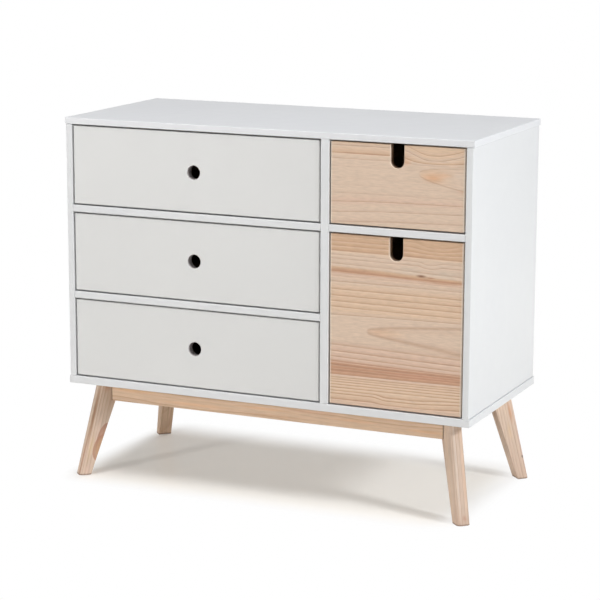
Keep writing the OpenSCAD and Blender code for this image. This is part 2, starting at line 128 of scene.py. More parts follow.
class Finish:
    """A material being made: its shader, and short calls for the nodes that feed it."""

    def __init__(self, name, specular=0.5, metallic=0.0):
        self.material = bpy.data.materials.new(name)
        self.material.use_nodes = True
        self.tree = self.material.node_tree
        self.shader = self.tree.nodes["Principled BSDF"]
        self.shader.inputs["Specular IOR Level"].default_value = specular
        self.shader.inputs["Metallic"].default_value = metallic
        self.place = self.add("ShaderNodeTexCoord").outputs["Object"]

    def feed(self, socket, value):
        if isinstance(value, bpy.types.NodeSocket):
            self.tree.links.new(value, socket)
        else:
            socket.default_value = value

    def colour(self, value):
        self.feed(self.shader.inputs["Base Color"], value)

    def roughness(self, value):
        self.feed(self.shader.inputs["Roughness"], value)

    def bump(self, height, distance):
        made = self.add("ShaderNodeBump", {"Height": height, "Distance": distance})
        self.feed(self.shader.inputs["Normal"], made.outputs[0])

    def add(self, kind, feeds=None, **settings):
        made = self.tree.nodes.new(kind)
        for key, value in settings.items():
            setattr(made, key, value)
        for key, value in (feeds or {}).items():
            self.feed(made.inputs[key], value)
        return made

    def math(self, operation, *values, clamp=False):
        feeds = dict(enumerate(values))
        return self.add("ShaderNodeMath", feeds, operation=operation, use_clamp=clamp).outputs[0]

    def vector(self, operation, *values):
        made = self.add("ShaderNodeVectorMath", dict(enumerate(values)), operation=operation)
        return made.outputs["Value" if operation in ("DOT_PRODUCT", "LENGTH") else "Vector"]

    def combine(self, x, y, z):
        return self.add("ShaderNodeCombineXYZ", {0: x, 1: y, 2: z}).outputs[0]

    def axis(self, index):
        """Distance along one of the frame's axes, in metres."""
        return self.add("ShaderNodeSeparateXYZ", {0: self.place}).outputs[index]

    def distance(self, value, middle):
        """How far a value is from a middle one, either way."""
        return self.math("ABSOLUTE", self.math("SUBTRACT", value, middle))

    def remap(self, value, low, high, to_low, to_high, smooth=False):
        kind = "SMOOTHSTEP" if smooth else "LINEAR"
        feeds = {"Value": value, "From Min": low, "From Max": high,
                 "To Min": to_low, "To Max": to_high}
        return self.add("ShaderNodeMapRange", feeds, interpolation_type=kind).outputs[0]

    def fade(self, value, start, end):
        """Smooth rise from 0 at start to 1 at end, which may lie below start."""
        return self.remap(value, start, end, 0.0, 1.0, smooth=True)

    def away(self, where, at, reach):
        """Distance from a place in shares of a reach. An axis with a reach of 0 doesn't count."""
        off = self.vector("SUBTRACT", where, at)
        off = self.vector("MULTIPLY", off, tuple(1 / span if span else 0.0 for span in reach))
        return self.vector("LENGTH", off)

    def spot(self, where, at, reach):
        """Soft spot: 1 at a place, and 0 where it is reach away along each axis."""
        return self.fade(self.away(where, at, reach), 1.0, 0.0)

    def noise(self, where, stretch, detail=2.0, rough=0.5):
        """Noise from 0 to 1. Stretch is its features per metre, on each axis or on all."""
        if not isinstance(stretch, tuple):
            stretch = (stretch,) * 3
        scaled = self.vector("MULTIPLY", where, stretch)
        feeds = {"Vector": scaled, "Scale": 1.0, "Detail": detail, "Roughness": rough}
        return self.add("ShaderNodeTexNoise", feeds).outputs["Fac"]

    def spread(self, noise, low, high):
        """Noise that runs from low to high."""
        return self.remap(noise, NOISE_LOW, NOISE_HIGH, low, high)

    def wander(self, where, stretch, reach):
        """Slow noise that strays either way from 0, by at most reach."""
        return self.remap(self.noise(where, stretch), 0.0, 1.0, -reach, reach)

    def ramp(self, value, stops, kind="LINEAR"):
        made = self.add("ShaderNodeValToRGB", {"Fac": value})
        made.color_ramp.interpolation = kind
        elements = made.color_ramp.elements
        while len(elements) < len(stops):
            elements.new(0.5)
        for element, (at, colour) in zip(elements, stops):
            element.position = at
            element.color = colour if isinstance(colour, tuple) else grey(colour)
        return made.outputs["Color"]

    def blend(self, factor, a, b, kind="MIX"):
        feeds = {0: factor, 6: a, 7: b}
        return self.add("ShaderNodeMix", feeds, data_type="RGBA", blend_type=kind).outputs[2]

    def tint(self, colour, share, strength, other):
        """Colour turned to another one, as far as share times strength says."""
        return self.blend(self.math("MULTIPLY", share, strength), colour, other)

    def darken(self, colour, level):
        """Colour times a level between black and white."""
        return self.blend(1.0, colour, self.combine(level, level, level), "MULTIPLY")


def middle_of(name):
    """Middle of a CAD node's box."""
    low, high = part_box(name)
    return (low + high) / 2


def dress(material, slot, *names):
    """Gives CAD nodes a finish. slot, the record's slot that the finish belongs to, is not used.
    """
    for name in names:
        piece = nodes[name]
        piece.data.materials.clear()
        piece.data.materials.append(material)


# Lacquers: colour, colour of their faint clouds, roughness
WHITE = srgb(220, 221, 222), srgb(217, 218, 220), 0.42
# The top panel's lacquer is WHITE made a little lighter: painted light for how the light falls on
# the top
LIT_TOP_WHITE = srgb(223, 224, 226), srgb(220, 221, 224), 0.42
FRONT_WHITE = srgb(218, 218, 217), srgb(215, 215, 214), 0.45
POWDER_COAT = srgb(228, 228, 226), srgb(224, 224, 222), 0.38
NYLON = srgb(236, 236, 230), srgb(231, 231, 224), 0.5

# How fine their clouds, changes of gloss and orange peel are, in features per metre, and how deep
CLOUD_FINE, GLOSS_FINE, PEEL_FINE = 2.2, 30, 420
GLOSS_MORE, GLOSS_LESS = 0.04, 0.05
PEEL_DEEP = 0.00003

# Finger hole: its wall is bare board, painted darker grey partly as painted shade inside the hole,
# and the paint ends in a narrow fade outside it
HOLE_RADIUS = 0.016
SHADED_HOLE_WALL, HOLE_DUST, DUST_FINE = srgb(164, 160, 160), srgb(175, 168, 167), 500
PAINT_WHOLE, PAINT_GONE = 0.0006, 0.0001

# Joint line between a side panel and the top panel, drawn as a painted shadow under the top
# panel's overhang
SEAM_REACH, SEAM_PAINTED_SHADOW = 0.0022, srgb(186, 188, 191)


def lacquer(name, colour, shade, roughness, hole=None, seam=None):
    """Sprayed lacquer: nearly even in colour, with a faint orange-peel surface.

    hole is the middle of a finger hole, whose wall is painted darker, partly as painted shade,
    and seam the height of a joint line, drawn as a painted shadow."""
    finish = Finish(name)
    cloud = finish.noise(finish.place, CLOUD_FINE, detail=3.0)
    paint = finish.blend(finish.spread(cloud, 0.0, 1.0), colour, shade)
    if hole:
        away = finish.away(finish.place, hole, (1, 0, 1))
        dust = finish.spread(finish.noise(finish.place, DUST_FINE), 0.0, 1.0)
        # Bare board with painted shade: the finger hole's wall is darker grey than the lacquer
        bare_and_shaded = finish.blend(dust, SHADED_HOLE_WALL, HOLE_DUST)
        wall = finish.fade(away, HOLE_RADIUS + PAINT_WHOLE, HOLE_RADIUS + PAINT_GONE)
        paint = finish.blend(wall, paint, bare_and_shaded)
    if seam:
        # Painted shadow: the side panel darkens within a few millimetres of the top panel
        near = finish.fade(finish.distance(finish.axis(2), seam), SEAM_REACH, 0.0)
        paint = finish.blend(near, paint, SEAM_PAINTED_SHADOW)
    finish.colour(paint)
    gloss = finish.noise(finish.place, GLOSS_FINE)
    finish.roughness(finish.spread(gloss, roughness - GLOSS_MORE, roughness + GLOSS_LESS))
    finish.bump(finish.noise(finish.place, PEEL_FINE, detail=1.0), PEEL_DEEP)
    return finish.material


# Hardboard: its coat, the clouds in it, and the specks of pressed fibre that show through it
COAT, COAT_CLOUD, COAT_SPECK = srgb(206, 204, 198), srgb(199, 196, 189), srgb(176, 168, 154)
COAT_CLOUD_FINE, COAT_FIBRE_FINE, COAT_DEEP = 3.0, (260, 260, 700), 0.00008
SPECKS_FROM, SPECKS_TO, SPECKS_MOST = 0.62, 0.8, 0.35
COAT_SMOOTH, COAT_ROUGH = 0.5, 0.68


def hardboard():
    """White-faced hardboard: a thin coat over pressed fibres."""
    finish = Finish("back_board", specular=0.35)
    cloud = finish.noise(finish.place, COAT_CLOUD_FINE, detail=3.0)
    paint = finish.blend(finish.spread(cloud, 0.0, 1.0), COAT, COAT_CLOUD)
    fibre = finish.noise(finish.place, COAT_FIBRE_FINE, detail=3.0, rough=0.65)
    speck = finish.remap(fibre, SPECKS_FROM, SPECKS_TO, 0.0, SPECKS_MOST)
    finish.colour(finish.blend(speck, paint, COAT_SPECK))
    finish.roughness(finish.spread(fibre, COAT_SMOOTH, COAT_ROUGH))
    finish.bump(fibre, COAT_DEEP)
    return finish.material


# All wood: how dark a growth ring is from the start of its year to the end, the step through the
# noise from year to year, and how late wood shines and rises
RING_PROFILE = [(0.0, 0.0), (0.35, 0.06), (0.72, 0.38), (0.9, 1.0), (0.96, 0.85), (1.0, 0.0)]
YEAR_STEP = (0.73, 1, 1)
EARLY_ROUGH, LATE_ROUGH, LATE_RISE, RELIEF = 0.56, 0.44, 0.5, 0.00006


def late_wood(finish, rings, weakest, strongest, seed=0.0):
    """Darkness of the growth rings from a count of them, which differs from year to year."""
    late = finish.ramp(finish.math("FRACT", rings), RING_PROFILE)
    year = finish.combine(finish.math("FLOOR", rings), seed, 0.0)
    year = finish.spread(finish.noise(year, YEAR_STEP, detail=0.0), weakest, strongest)
    return finish.math("MULTIPLY", late, year)


def plane_wood(finish, late, fibre):
    """Gloss and relief of a planed surface."""
    finish.roughness(finish.remap(late, 0.0, 1.0, EARLY_ROUGH, LATE_ROUGH))
    finish.bump(finish.math("ADD", finish.math("MULTIPLY", late, LATE_RISE), fibre), RELIEF)


# Plain wood, of the parts that hardly show: its colours, how its rings drift and ripple, as
# fineness and reach, its weakest year, its warm patches, which keep so much of red, green and
# blue, and its fibres
BOX_PALE, BOX_DARK = srgb(229, 208, 180), srgb(200, 160, 120)
PLY_PALE, PLY_DARK = srgb(226, 203, 168), srgb(205, 172, 130)
BEECH_PALE, BEECH_DARK = srgb(221, 187, 150), srgb(200, 160, 120)
DRIFT, RIPPLE = ((2.4, 5.0, 5.0), 0.012), ((9.0, 40.0, 40.0), 0.0015)
WEAK_YEAR = 0.35
WARM_KEEPS, WARM_FINE = (0.97, 0.88, 0.78), (1.6, 16.0, 16.0)
WARM_FROM, WARM_TO, WARM_MOST = 0.42, 0.72, 0.6
FIBRE_FINE, FIBRE_DARK, FIBRE_LIGHT = (14.0, 900.0, 900.0), 0.93, 1.05


def plain_wood(name, along, across, pith, ring, pale, dark, seed=0.0, contrast=1.0):
    """Planed wood with its grain along one axis and rings of one width.

    pith is the middle of the rings, in metres across and through the piece."""
    finish = Finish(name, specular=0.4)
    a, b, c = (finish.vector("DOT_PRODUCT", finish.place, way)
               for way in (along, across, along.cross(across)))
    grain = finish.combine(finish.math("ADD", a, seed), b, c)
    drift, ripple = finish.wander(grain, *DRIFT), finish.wander(grain, *RIPPLE)
    from_b = finish.math("ADD", finish.math("SUBTRACT", b, pith[0]), drift)
    from_c = finish.math("SUBTRACT", c, pith[1])
    reach = finish.vector("LENGTH", finish.combine(from_b, from_c, 0.0))
    rings = finish.math("DIVIDE", finish.math("ADD", reach, ripple), ring)
    late = late_wood(finish, rings, WEAK_YEAR * contrast, contrast)
    colour = finish.blend(late, pale, dark)
    warm = tuple(channel * share for channel, share in zip(pale, WARM_KEEPS)) + (1.0,)
    patch = finish.remap(finish.noise(grain, WARM_FINE), WARM_FROM, WARM_TO, 0.0, WARM_MOST)
    colour = finish.blend(patch, colour, warm)
    fibre = finish.noise(grain, FIBRE_FINE, detail=3.0, rough=0.6)
    finish.colour(finish.darken(colour, finish.spread(fibre, FIBRE_DARK, FIBRE_LIGHT)))
    plane_wood(finish, late, fibre)
    return finish.material


# Wood that the camera sees: fibres, streaks and flecks per metre, along and across the grain, and
# how dark and how light they make it
SEEN_FIBRE, FIBRE_LEVELS = (14.0, 900.0), (0.475, 0.52)
SEEN_STREAK, STREAK_LEVELS = (5.0, 150.0), (0.485, 0.515)
FRONT_FLECK, BASE_FLECK, FLECK_LEVELS = (50.0, 330.0), (35.0, 330.0), (0.93, 1.07)


def stretched(axes, along, across):
    """Features per metre on each axis, of wood whose grain lies in the axes named."""
    return tuple(along if axis in axes else across for axis in "xyz")


def show_grain(finish, colour, late, axes, fleck, where=None):
    """Fibres, streaks and flecks over a wood's colour, and its planed surface."""
    where = where or finish.place
    flecks = finish.noise(where, stretched(axes, *fleck))
    colour = finish.darken(colour, finish.spread(flecks, *FLECK_LEVELS))
    fibre = finish.noise(where, stretched(axes, *SEEN_FIBRE), detail=3.0, rough=0.6)
    streak = finish.noise(where, stretched(axes, *SEEN_STREAK))
    level = finish.math("ADD", finish.spread(fibre, *FIBRE_LEVELS),
                        finish.spread(streak, *STREAK_LEVELS))
    finish.colour(finish.darken(colour, level))
    plane_wood(finish, late, fibre)


# Pine fronts: each is laid out in shares of its width, from the left, and of its height, from
# the top.
#   slopes  (height, drop): how far the growth lines drop from the left edge to the right edge
#   dips    where the lines swing down or up: rise from, rise to, fall from, fall to, middle,
#           hold, reach, drop
#   lines   (height at the left edge, strength, fade above it)
#   tints   (height, colour)
#   loops   growth lines that turn back: tip across, tip down, slope, opening, line strength, fill
#   spots   (across, down, reach across, reach down, colour, strength)
PLAIN, PINK, AMBER = srgb(214, 190, 169), srgb(213, 184, 163), srgb(216, 187, 160)
HONEY, RUSSET, UMBER = srgb(206, 172, 142), srgb(193, 149, 121), srgb(178, 136, 109)
GREY, LINE_BROWN, LINE_PALE = srgb(208, 191, 173), srgb(170, 122, 94), srgb(236, 219, 202)
GRAIN = {
    "tall_right": {
        "slopes": [(0.0, 0.0), (0.16, 0.01), (0.21, 0.028), (0.27, 0.0), (0.43, 0.008),
                   (0.475, -0.02), (0.6, 0.0), (0.65, 0.021), (0.75, 0.02), (0.81, -0.004),
                   (0.85, -0.006), (1.0, -0.006)],
        "dips": [(0.6, 0.78, 0.82, 1.05, 0.03, 0.0, 0.08, 0.026),
                 (0.66, 0.74, 0.77, 0.86, 0.145, 0.01, 0.04, 0.012),
                 (0.32, 0.44, 0.62, 1.0, 0.95, 0.01, 0.05, 0.016)],
        "lines": [(0.012, 0.3, 0.02), (0.04, 0.45, 0.018), (0.066, 0.5, 0.02),
                  (0.096, 0.75, 0.03), (0.12, 0.45, 0.012), (0.143, 0.5, 0.018),
                  (0.172, 0.45, 0.02), (0.214, 0.4, 0.035), (0.243, 0.3, 0.012),
                  (0.277, 0.5, 0.022), (0.321, 0.7, 0.018), (0.358, 0.75, 0.018),
                  (0.391, 0.75, 0.018), (0.424, 0.7, 0.016), (0.472, 0.65, 0.02),
                  (0.649, 0.55, 0.03), (0.686, 0.8, 0.02), (0.718, 0.75, 0.016),
                  (0.745, 0.7, 0.016), (0.766, 0.5, 0.012), (0.785, 0.4, 0.012),
                  (0.803, 0.45, 0.012), (0.823, 0.8, 0.014), (0.842, 0.8, 0.01),
                  (0.855, 0.75, 0.009), (0.869, 0.85, 0.01), (0.885, 0.8, 0.011),
                  (0.903, 0.85, 0.012), (0.922, 0.7, 0.012), (0.94, 0.95, 0.014),
                  (0.972, 0.9, 0.022)],
        "tints": [(0.0, HONEY), (0.07, HONEY), (0.082, HONEY), (0.1, AMBER), (0.11, PLAIN),
                  (0.18, PLAIN), (0.196, HONEY), (0.216, RUSSET), (0.23, PINK), (0.27, PLAIN),
                  (0.32, AMBER), (0.43, AMBER), (0.48, PLAIN), (0.62, PLAIN), (0.66, PINK),
                  (0.728, PINK), (0.757, RUSSET), (0.769, UMBER), (0.776, RUSSET),
                  (0.79, RUSSET), (0.796, UMBER), (0.803, RUSSET), (0.815, RUSSET),
                  (0.83, PINK), (0.845, AMBER), (0.95, AMBER), (1.0, PINK)],
        "loops": [(0.28, 0.557, 0.009, 0.059, 0.4, srgb(217, 183, 155)),
                  (0.34, 0.56, 0.012, 0.04, 0.12, AMBER)],
        "spots": [(0.69, 0.206, 0.055, 0.013, srgb(138, 100, 78), 1.0),
                  (0.76, 0.212, 0.05, 0.006, LINE_BROWN, 0.8),
                  (0.6, 0.178, 0.16, 0.03, GREY, 0.8), (0.87, 0.185, 0.17, 0.03, GREY, 0.9),
                  (0.86, 0.235, 0.22, 0.018, RUSSET, 0.8), (0.2, 0.21, 0.3, 0.02, RUSSET, 0.5),
                  (0.7, 0.79, 0.4, 0.03, srgb(200, 150, 124), 0.6)],
    },
    "small_right": {
        "slopes": [(0.0, 0.01), (0.2, 0.01), (0.3, 0.0), (0.6, 0.0), (0.72, -0.04),
                   (0.86, -0.045), (1.0, -0.07)],
        "dips": [(0.5, 0.75, 0.78, 1.15, 0.05, 0.11, 0.21, 0.125),
                 (0.0, 0.4, 3.0, 4.0, 0.85, 0.05, 0.25, -0.016)],
        "lines": [(-0.02, 0.75, 0.03), (0.042, 0.8, 0.03), (0.135, 0.9, 0.06),
                  (0.2, 0.6, 0.035), (0.3, 0.15, 0.05), (0.44, 0.12, 0.04), (0.52, 0.15, 0.04),
                  (0.62, 0.35, 0.05), (0.73, 0.7, 0.035), (0.858, 0.6, 0.04),
                  (0.985, 0.55, 0.06)],
        "tints": [(0.0, AMBER), (0.03, PLAIN), (0.1, AMBER), (0.13, AMBER), (0.16, PLAIN),
                  (0.4, PLAIN), (0.6, PLAIN), (0.72, PINK), (0.8, PLAIN), (0.9, PLAIN),
                  (1.0, PLAIN)],
        "loops": [(0.66, 0.33, 0.04, 0.14, 0.35, AMBER)],
        "spots": [(0.77, 0.37, 0.12, 0.085, srgb(211, 165, 130), 0.9),
                  (0.84, 0.33, 0.12, 0.05, srgb(216, 178, 148), 0.8),
                  (0.95, 0.33, 0.06, 0.05, srgb(213, 193, 176), 0.6),
                  (0.57, 0.2, 0.05, 0.06, srgb(214, 170, 136), 0.7),
                  (0.99, 0.52, 0.08, 0.05, RUSSET, 0.35)],
    },
}

# Growth lines, in shares of the height: each starts faint, darkens past its knee, ends sharply,
# and has a pale band below it, down to PALE_END or PALE_ROOM of the way to the next line. A ramp
# holds few stops, so it draws a few lines. Its levels can't be below 0, so LINE_BASE stands for
# no line in it, and less for a pale band.
LINE_KNEE, KNEE_LEVEL = 0.35, 0.3
LINE_END, PALE_END, PALE_ROOM = 0.004, 0.012, 0.6
START_STEP, KNEE_STEP = 0.0005, 0.0003
LINES_PER_RAMP, LINE_BASE = 6, 0.25

# How strong the lines are, which differs in patches, and how far they turn the wood pale, where
# they are below 0, or brown
PATCH_FINE = (9, 9, 60)
PATCH_FROM, PATCH_TO, PATCH_LOW, PATCH_HIGH = 0.25, 0.75, 0.6, 1.05
PALE_STRENGTH, BROWN_STRENGTH = -1.5, 0.95

# The steepest slope of the lines, and how they stray from it, in metres
SLOPE_RANGE = 0.1
STRAY_FINE, STRAY_REACH = (4.0, 4.0, 14.0), 0.0014

# Loops, in shares: where they begin round their tip, how wide their line is, and how their fill
# fades across the line and along the loop
TIP_BEFORE, TIP_AFTER = 0.005, 0.02
LOOP_LINE = 0.015
FILL_OUTSIDE, FILL_INSIDE, FILL_WHOLE, FILL_GONE = 0.004, -0.02, 0.05, 0.3

# Edges of a front, in metres: its pale ends, a painted highlight of the rounded edges, the slot of
# its finger notch, where NOTCH_FULL of the rounding has only end grain, pale partly as a painted
# highlight, and how deep in the notch that grain turns dark as painted shade
RIM, RIM_HIGHLIGHT, RIM_STRENGTH = 0.0045, srgb(244, 231, 216), 0.75
NOTCH_RADIUS, NOTCH_CENTRE, NOTCH_ROUND, NOTCH_FULL = 0.01625, 0.03525, 0.0012, 0.2
END_GRAIN_HIGHLIGHT, NOTCH_PAINTED_SHADE, NOTCH_STRENGTH = srgb(234, 214, 194), srgb(126, 94, 72), 0.85
NOTCH_SHADE_FROM, NOTCH_SHADE_TO = 0.002, 0.01


def growth_lines(finish, height, lines):
    """Growth lines at chosen heights: above 0 in the dark lines, below 0 in the pale bands."""
    total = 0.0
    deepest = -LINE_BASE / (1 - LINE_BASE)
    for first in range(0, len(lines), LINES_PER_RAMP):
        part = lines[first:first + LINES_PER_RAMP]
        top, foot = part[0][0] - part[0][2], part[-1][0] + PALE_END
        following = [line[0] for line in part[1:]] + [foot]
        stops = []
        for (at, strength, fade), after in zip(part, following):
            start = max(at - fade, stops[-1][0] + START_STEP) if stops else top
            knee = max(at - LINE_KNEE * fade, start + KNEE_STEP)
            end = min(at + PALE_END, at + PALE_ROOM * (after - at))
            stops += [(start, 0.0), (knee, KNEE_LEVEL * strength), (at, strength),
                      (at + LINE_END, deepest * strength), (end, 0.0)]
        coded = [((at - top) / (foot - top), LINE_BASE + (1 - LINE_BASE) * level)
                 for at, level in stops]
        drawn = finish.ramp(finish.remap(height, top, foot, 0.0, 1.0), coded)
        total = finish.math("ADD", total, finish.remap(drawn, 0.0, 1.0, deepest, 1.0))
    return total


def line_height(finish, grain, across, down, tall):
    """Height of a place among the growth lines, which is its own height at the left edge."""
    slope = finish.ramp(down, [(at, 0.5 + drop / SLOPE_RANGE / 2) for at, drop in grain["slopes"]])
    slope = finish.remap(slope, 0.0, 1.0, -SLOPE_RANGE, SLOPE_RANGE)
    height = finish.math("SUBTRACT", down, finish.math("MULTIPLY", slope, across))
    for rise, risen, fall, fallen, middle, hold, reach, drop in grain["dips"]:
        share = finish.math("MULTIPLY", finish.fade(across, rise, risen),
                            finish.fade(across, fallen, fall))
        near = finish.fade(finish.distance(down, middle), reach, hold)
        share = finish.math("MULTIPLY", share, near)
        height = finish.math("SUBTRACT", height, finish.math("MULTIPLY", share, drop))
    return finish.math("ADD", height, finish.wander(finish.place, STRAY_FINE, STRAY_REACH / tall))


def add_loops(finish, loops, across, height, late, colour):
    """Growth lines that turn back at a tip, and the wood's colour inside them."""
    for tip, at, drop, opening, strength, fill in loops:
        past = finish.remap(across, tip, 1.0, 0.0, 1.0)
        middle = finish.math("MULTIPLY_ADD", past, drop, at)
        half = finish.math("MULTIPLY", finish.math("SQRT", past), opening)
        off = finish.math("SUBTRACT", finish.distance(height, middle), half)
        behind_tip = finish.fade(across, tip - TIP_BEFORE, tip + TIP_AFTER)
        edge = finish.fade(finish.math("ABSOLUTE", off), LOOP_LINE, 0.0)
        edge = finish.math("MULTIPLY", edge, behind_tip)
        late = finish.math("MULTIPLY_ADD", edge, strength, late)
        inside = finish.math("MULTIPLY", finish.fade(off, FILL_OUTSIDE, FILL_INSIDE), behind_tip)
        ending = finish.fade(across, tip + FILL_GONE, tip + FILL_WHOLE)
        colour = finish.blend(finish.math("MULTIPLY", inside, ending), colour, fill)
    return late, colour


def add_edges(finish, colour, across, low, high):
    """Pale ends of a front as a painted highlight, and the end grain in its finger notch: pale
    partly as a painted highlight at its mouth, dark as painted shade deeper in.
    """
    # Painted highlight: the ends of a front turn paler, where light catches their rounded edges
    side = finish.fade(finish.distance(across, 0.5), 0.5 - RIM / (high.x - low.x), 0.5)
    colour = finish.tint(colour, side, RIM_STRENGTH, RIM_HIGHLIGHT)
    # End grain in the notch: a painted highlight at its mouth, turning to painted shade deeper in
    sunk = finish.math("SUBTRACT", high.z - NOTCH_CENTRE, finish.axis(2))
    from_spine = finish.combine(finish.math("SUBTRACT", finish.axis(0), (low.x + high.x) / 2),
                                finish.math("MAXIMUM", sunk, 0.0), 0.0)
    cut = finish.fade(finish.vector("LENGTH", from_spine), NOTCH_RADIUS + NOTCH_ROUND,
                      NOTCH_RADIUS + NOTCH_FULL * NOTCH_ROUND)
    notch_shade = finish.fade(finish.axis(1), low.y + NOTCH_SHADE_FROM, low.y + NOTCH_SHADE_TO)
    return finish.tint(colour, cut, NOTCH_STRENGTH, finish.blend(notch_shade, END_GRAIN_HIGHLIGHT, NOTCH_PAINTED_SHADE))


def front_pine(name):
    """Planed pine of a drawer front, with its growth lines laid out as the table above says."""
    finish = Finish(f"{name}_front_pine", specular=0.35)
    grain = GRAIN[name]
    low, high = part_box(f"{name}_front")
    across = finish.remap(finish.axis(0), low.x, high.x, 0.0, 1.0)
    down = finish.remap(finish.axis(2), high.z, low.z, 0.0, 1.0)
    height = line_height(finish, grain, across, down, high.z - low.z)
    colour = finish.ramp(height, grain["tints"], "EASE")
    patch = finish.remap(finish.noise(finish.place, PATCH_FINE),
                         PATCH_FROM, PATCH_TO, PATCH_LOW, PATCH_HIGH)
    late = finish.math("MULTIPLY", growth_lines(finish, height, grain["lines"]), patch)
    late, colour = add_loops(finish, grain["loops"], across, height, late, colour)
    face = finish.combine(across, down, 0.0)
    for x, y, reach_x, reach_y, other, strength in grain["spots"]:
        spot = finish.spot(face, (x, y, 0), (reach_x, reach_y, 0))
        colour = finish.tint(colour, spot, strength, other)
    pale = finish.math("MULTIPLY", late, PALE_STRENGTH, clamp=True)
    colour = finish.blend(pale, colour, LINE_PALE)
    late = finish.math("MULTIPLY", late, 1.0, clamp=True)
    colour = finish.tint(colour, late, BROWN_STRENGTH, LINE_BROWN)
    colour = add_edges(finish, colour, across, low, high)
    show_grain(finish, colour, late, "xy", FRONT_FLECK)
    return finish.material


# Legs: each is laid out from its outer edge inwards, from its middle sideways, and up from the
# floor, in metres.
#   way    the corner it stands at
#   pith   where its growth rings turn about, inwards and sideways, and how far apart they are
#   tone_and_shade   how light this piece of wood is; the front right leg's lower one is also painted shade
#   spots  soft marks: place, reach along each of the three, colour, strength
#   knots  crisp figures where a growth ring is cut: place, reach, colour inside, colour of the
#          ring, strength
LEGS = {
    "front_left_leg": {
        "way": (-1, -1), "pith": (0.15, 0.11, 0.0065), "tone_and_shade": 0.84,
        "spots": [((0.003, 0.013, 0.15), (0.0065, 0.008, 0.13), srgb(166, 124, 92), 0.95),
                  ((0.0008, 0.009, 0.04), (0.005, 0.0055, 0.11), srgb(188, 134, 108), 0.85),
                  ((0.001, 0.006, 0.12), (0.004, 0.005, 0.2), srgb(240, 216, 184), 0.6),
                  # Painted shadow: the top of this face is darker, where the bottom panel shades
                  # it
                  ((0.045, 0.016, 0.215), (0.055, 0.03, 0.11), srgb(188, 156, 128), 0.9),
                  ((0.02, 0.016, 0.215), (0.012, 0.02, 0.025), srgb(186, 132, 102), 0.6),
                  ((0.036, 0.016, 0.19), (0.006, 0.02, 0.05), srgb(196, 160, 136), 0.6),
                  ((0.013, 0.016, 0.066), (0.009, 0.02, 0.045), srgb(230, 202, 160), 0.6),
                  ((0.022, 0.016, 0.1), (0.006, 0.02, 0.06), srgb(238, 208, 192), 0.6),
                  ((0.018, 0.016, 0.012), (0.012, 0.02, 0.02), srgb(236, 204, 188), 0.6)],
        "knots": [((0.041, 0.016, 0.083), (0.0188, 0.05, 0.042), srgb(200, 152, 126),
                   srgb(190, 138, 114), 0.8),
                  ((0.04, 0.016, 0.064), (0.022, 0.05, 0.035), srgb(212, 170, 134),
                   srgb(196, 144, 118), 0.8)],
    },
    "front_right_leg": {
        "way": (1, -1), "pith": (0.05, -0.12, 0.0075), "tone_and_shade": 0.79,
        "spots": [((0.0065, -0.0125, 0.1), (0.003, 0.005, 0.3), srgb(190, 148, 112), 0.85),
                  ((0.025, -0.016, 0.12), (0.012, 0.01, 0.3), srgb(236, 204, 174), 0.5),
                  ((0.0, -0.007, 0.12), (0.01, 0.0035, 0.25), srgb(238, 220, 206), 0.7),
                  ((0.0, -0.001, 0.1), (0.01, 0.0025, 0.16), srgb(216, 184, 162), 0.5),
                  ((0.0, 0.004, 0.2), (0.01, 0.01, 0.03), srgb(206, 168, 140), 0.4),
                  ((0.0, 0.002, 0.016), (0.008, 0.007, 0.01), srgb(208, 160, 140), 0.8),
                  ((0.0, 0.009, 0.11), (0.01, 0.006, 0.14), srgb(240, 200, 170), 0.6),
                  ((0.01, 0.0, 0.0), (0.05, 0.05, 0.05), srgb(204, 170, 148), 0.35)],
        "knots": [],
    },
    "back_left_leg": {
        "way": (-1, 1), "pith": (0.2, 0.03, 0.006), "tone_and_shade": 0.84,
        "spots": [((0.045, 0.0, 0.1), (0.2, 0.2, 0.5), srgb(205, 166, 126), 0.5),
                  ((0.045, -0.002, 0.1), (0.02, 0.0018, 0.3), srgb(150, 116, 90), 0.8),
                  ((0.045, 0.005, 0.1), (0.02, 0.002, 0.3), srgb(232, 204, 172), 0.7),
                  ((0.045, -0.010, 0.1), (0.02, 0.003, 0.3), srgb(172, 138, 110), 0.6),
                  ((0.045, 0.012, 0.1), (0.02, 0.003, 0.3), srgb(168, 132, 104), 0.6)],
        "knots": [],
    },
    "back_right_leg": {
        "way": (1, 1), "pith": (-0.1, -0.12, 0.006), "tone_and_shade": 0.86,
        "spots": [((0.006, -0.0155, 0.209), (0.01, 0.014, 0.016), srgb(244, 182, 110), 1.0),
                  ((0.0135, -0.016, 0.166), (0.007, 0.012, 0.036), srgb(220, 166, 130), 0.75),
                  ((0.005, -0.012, 0.1), (0.004, 0.01, 0.12), srgb(214, 178, 170), 0.6),
                  ((0.025, -0.016, 0.12), (0.008, 0.012, 0.03), srgb(238, 204, 150), 0.35),
                  ((0.052, 0.0, 0.17), (0.016, 0.02, 0.2), srgb(172, 134, 106), 0.75),
                  ((0.0049, -0.0146, 0.055), (0.004, 0.006, 0.005), srgb(44, 32, 26), 1.0)],
        "knots": [],
    },
}

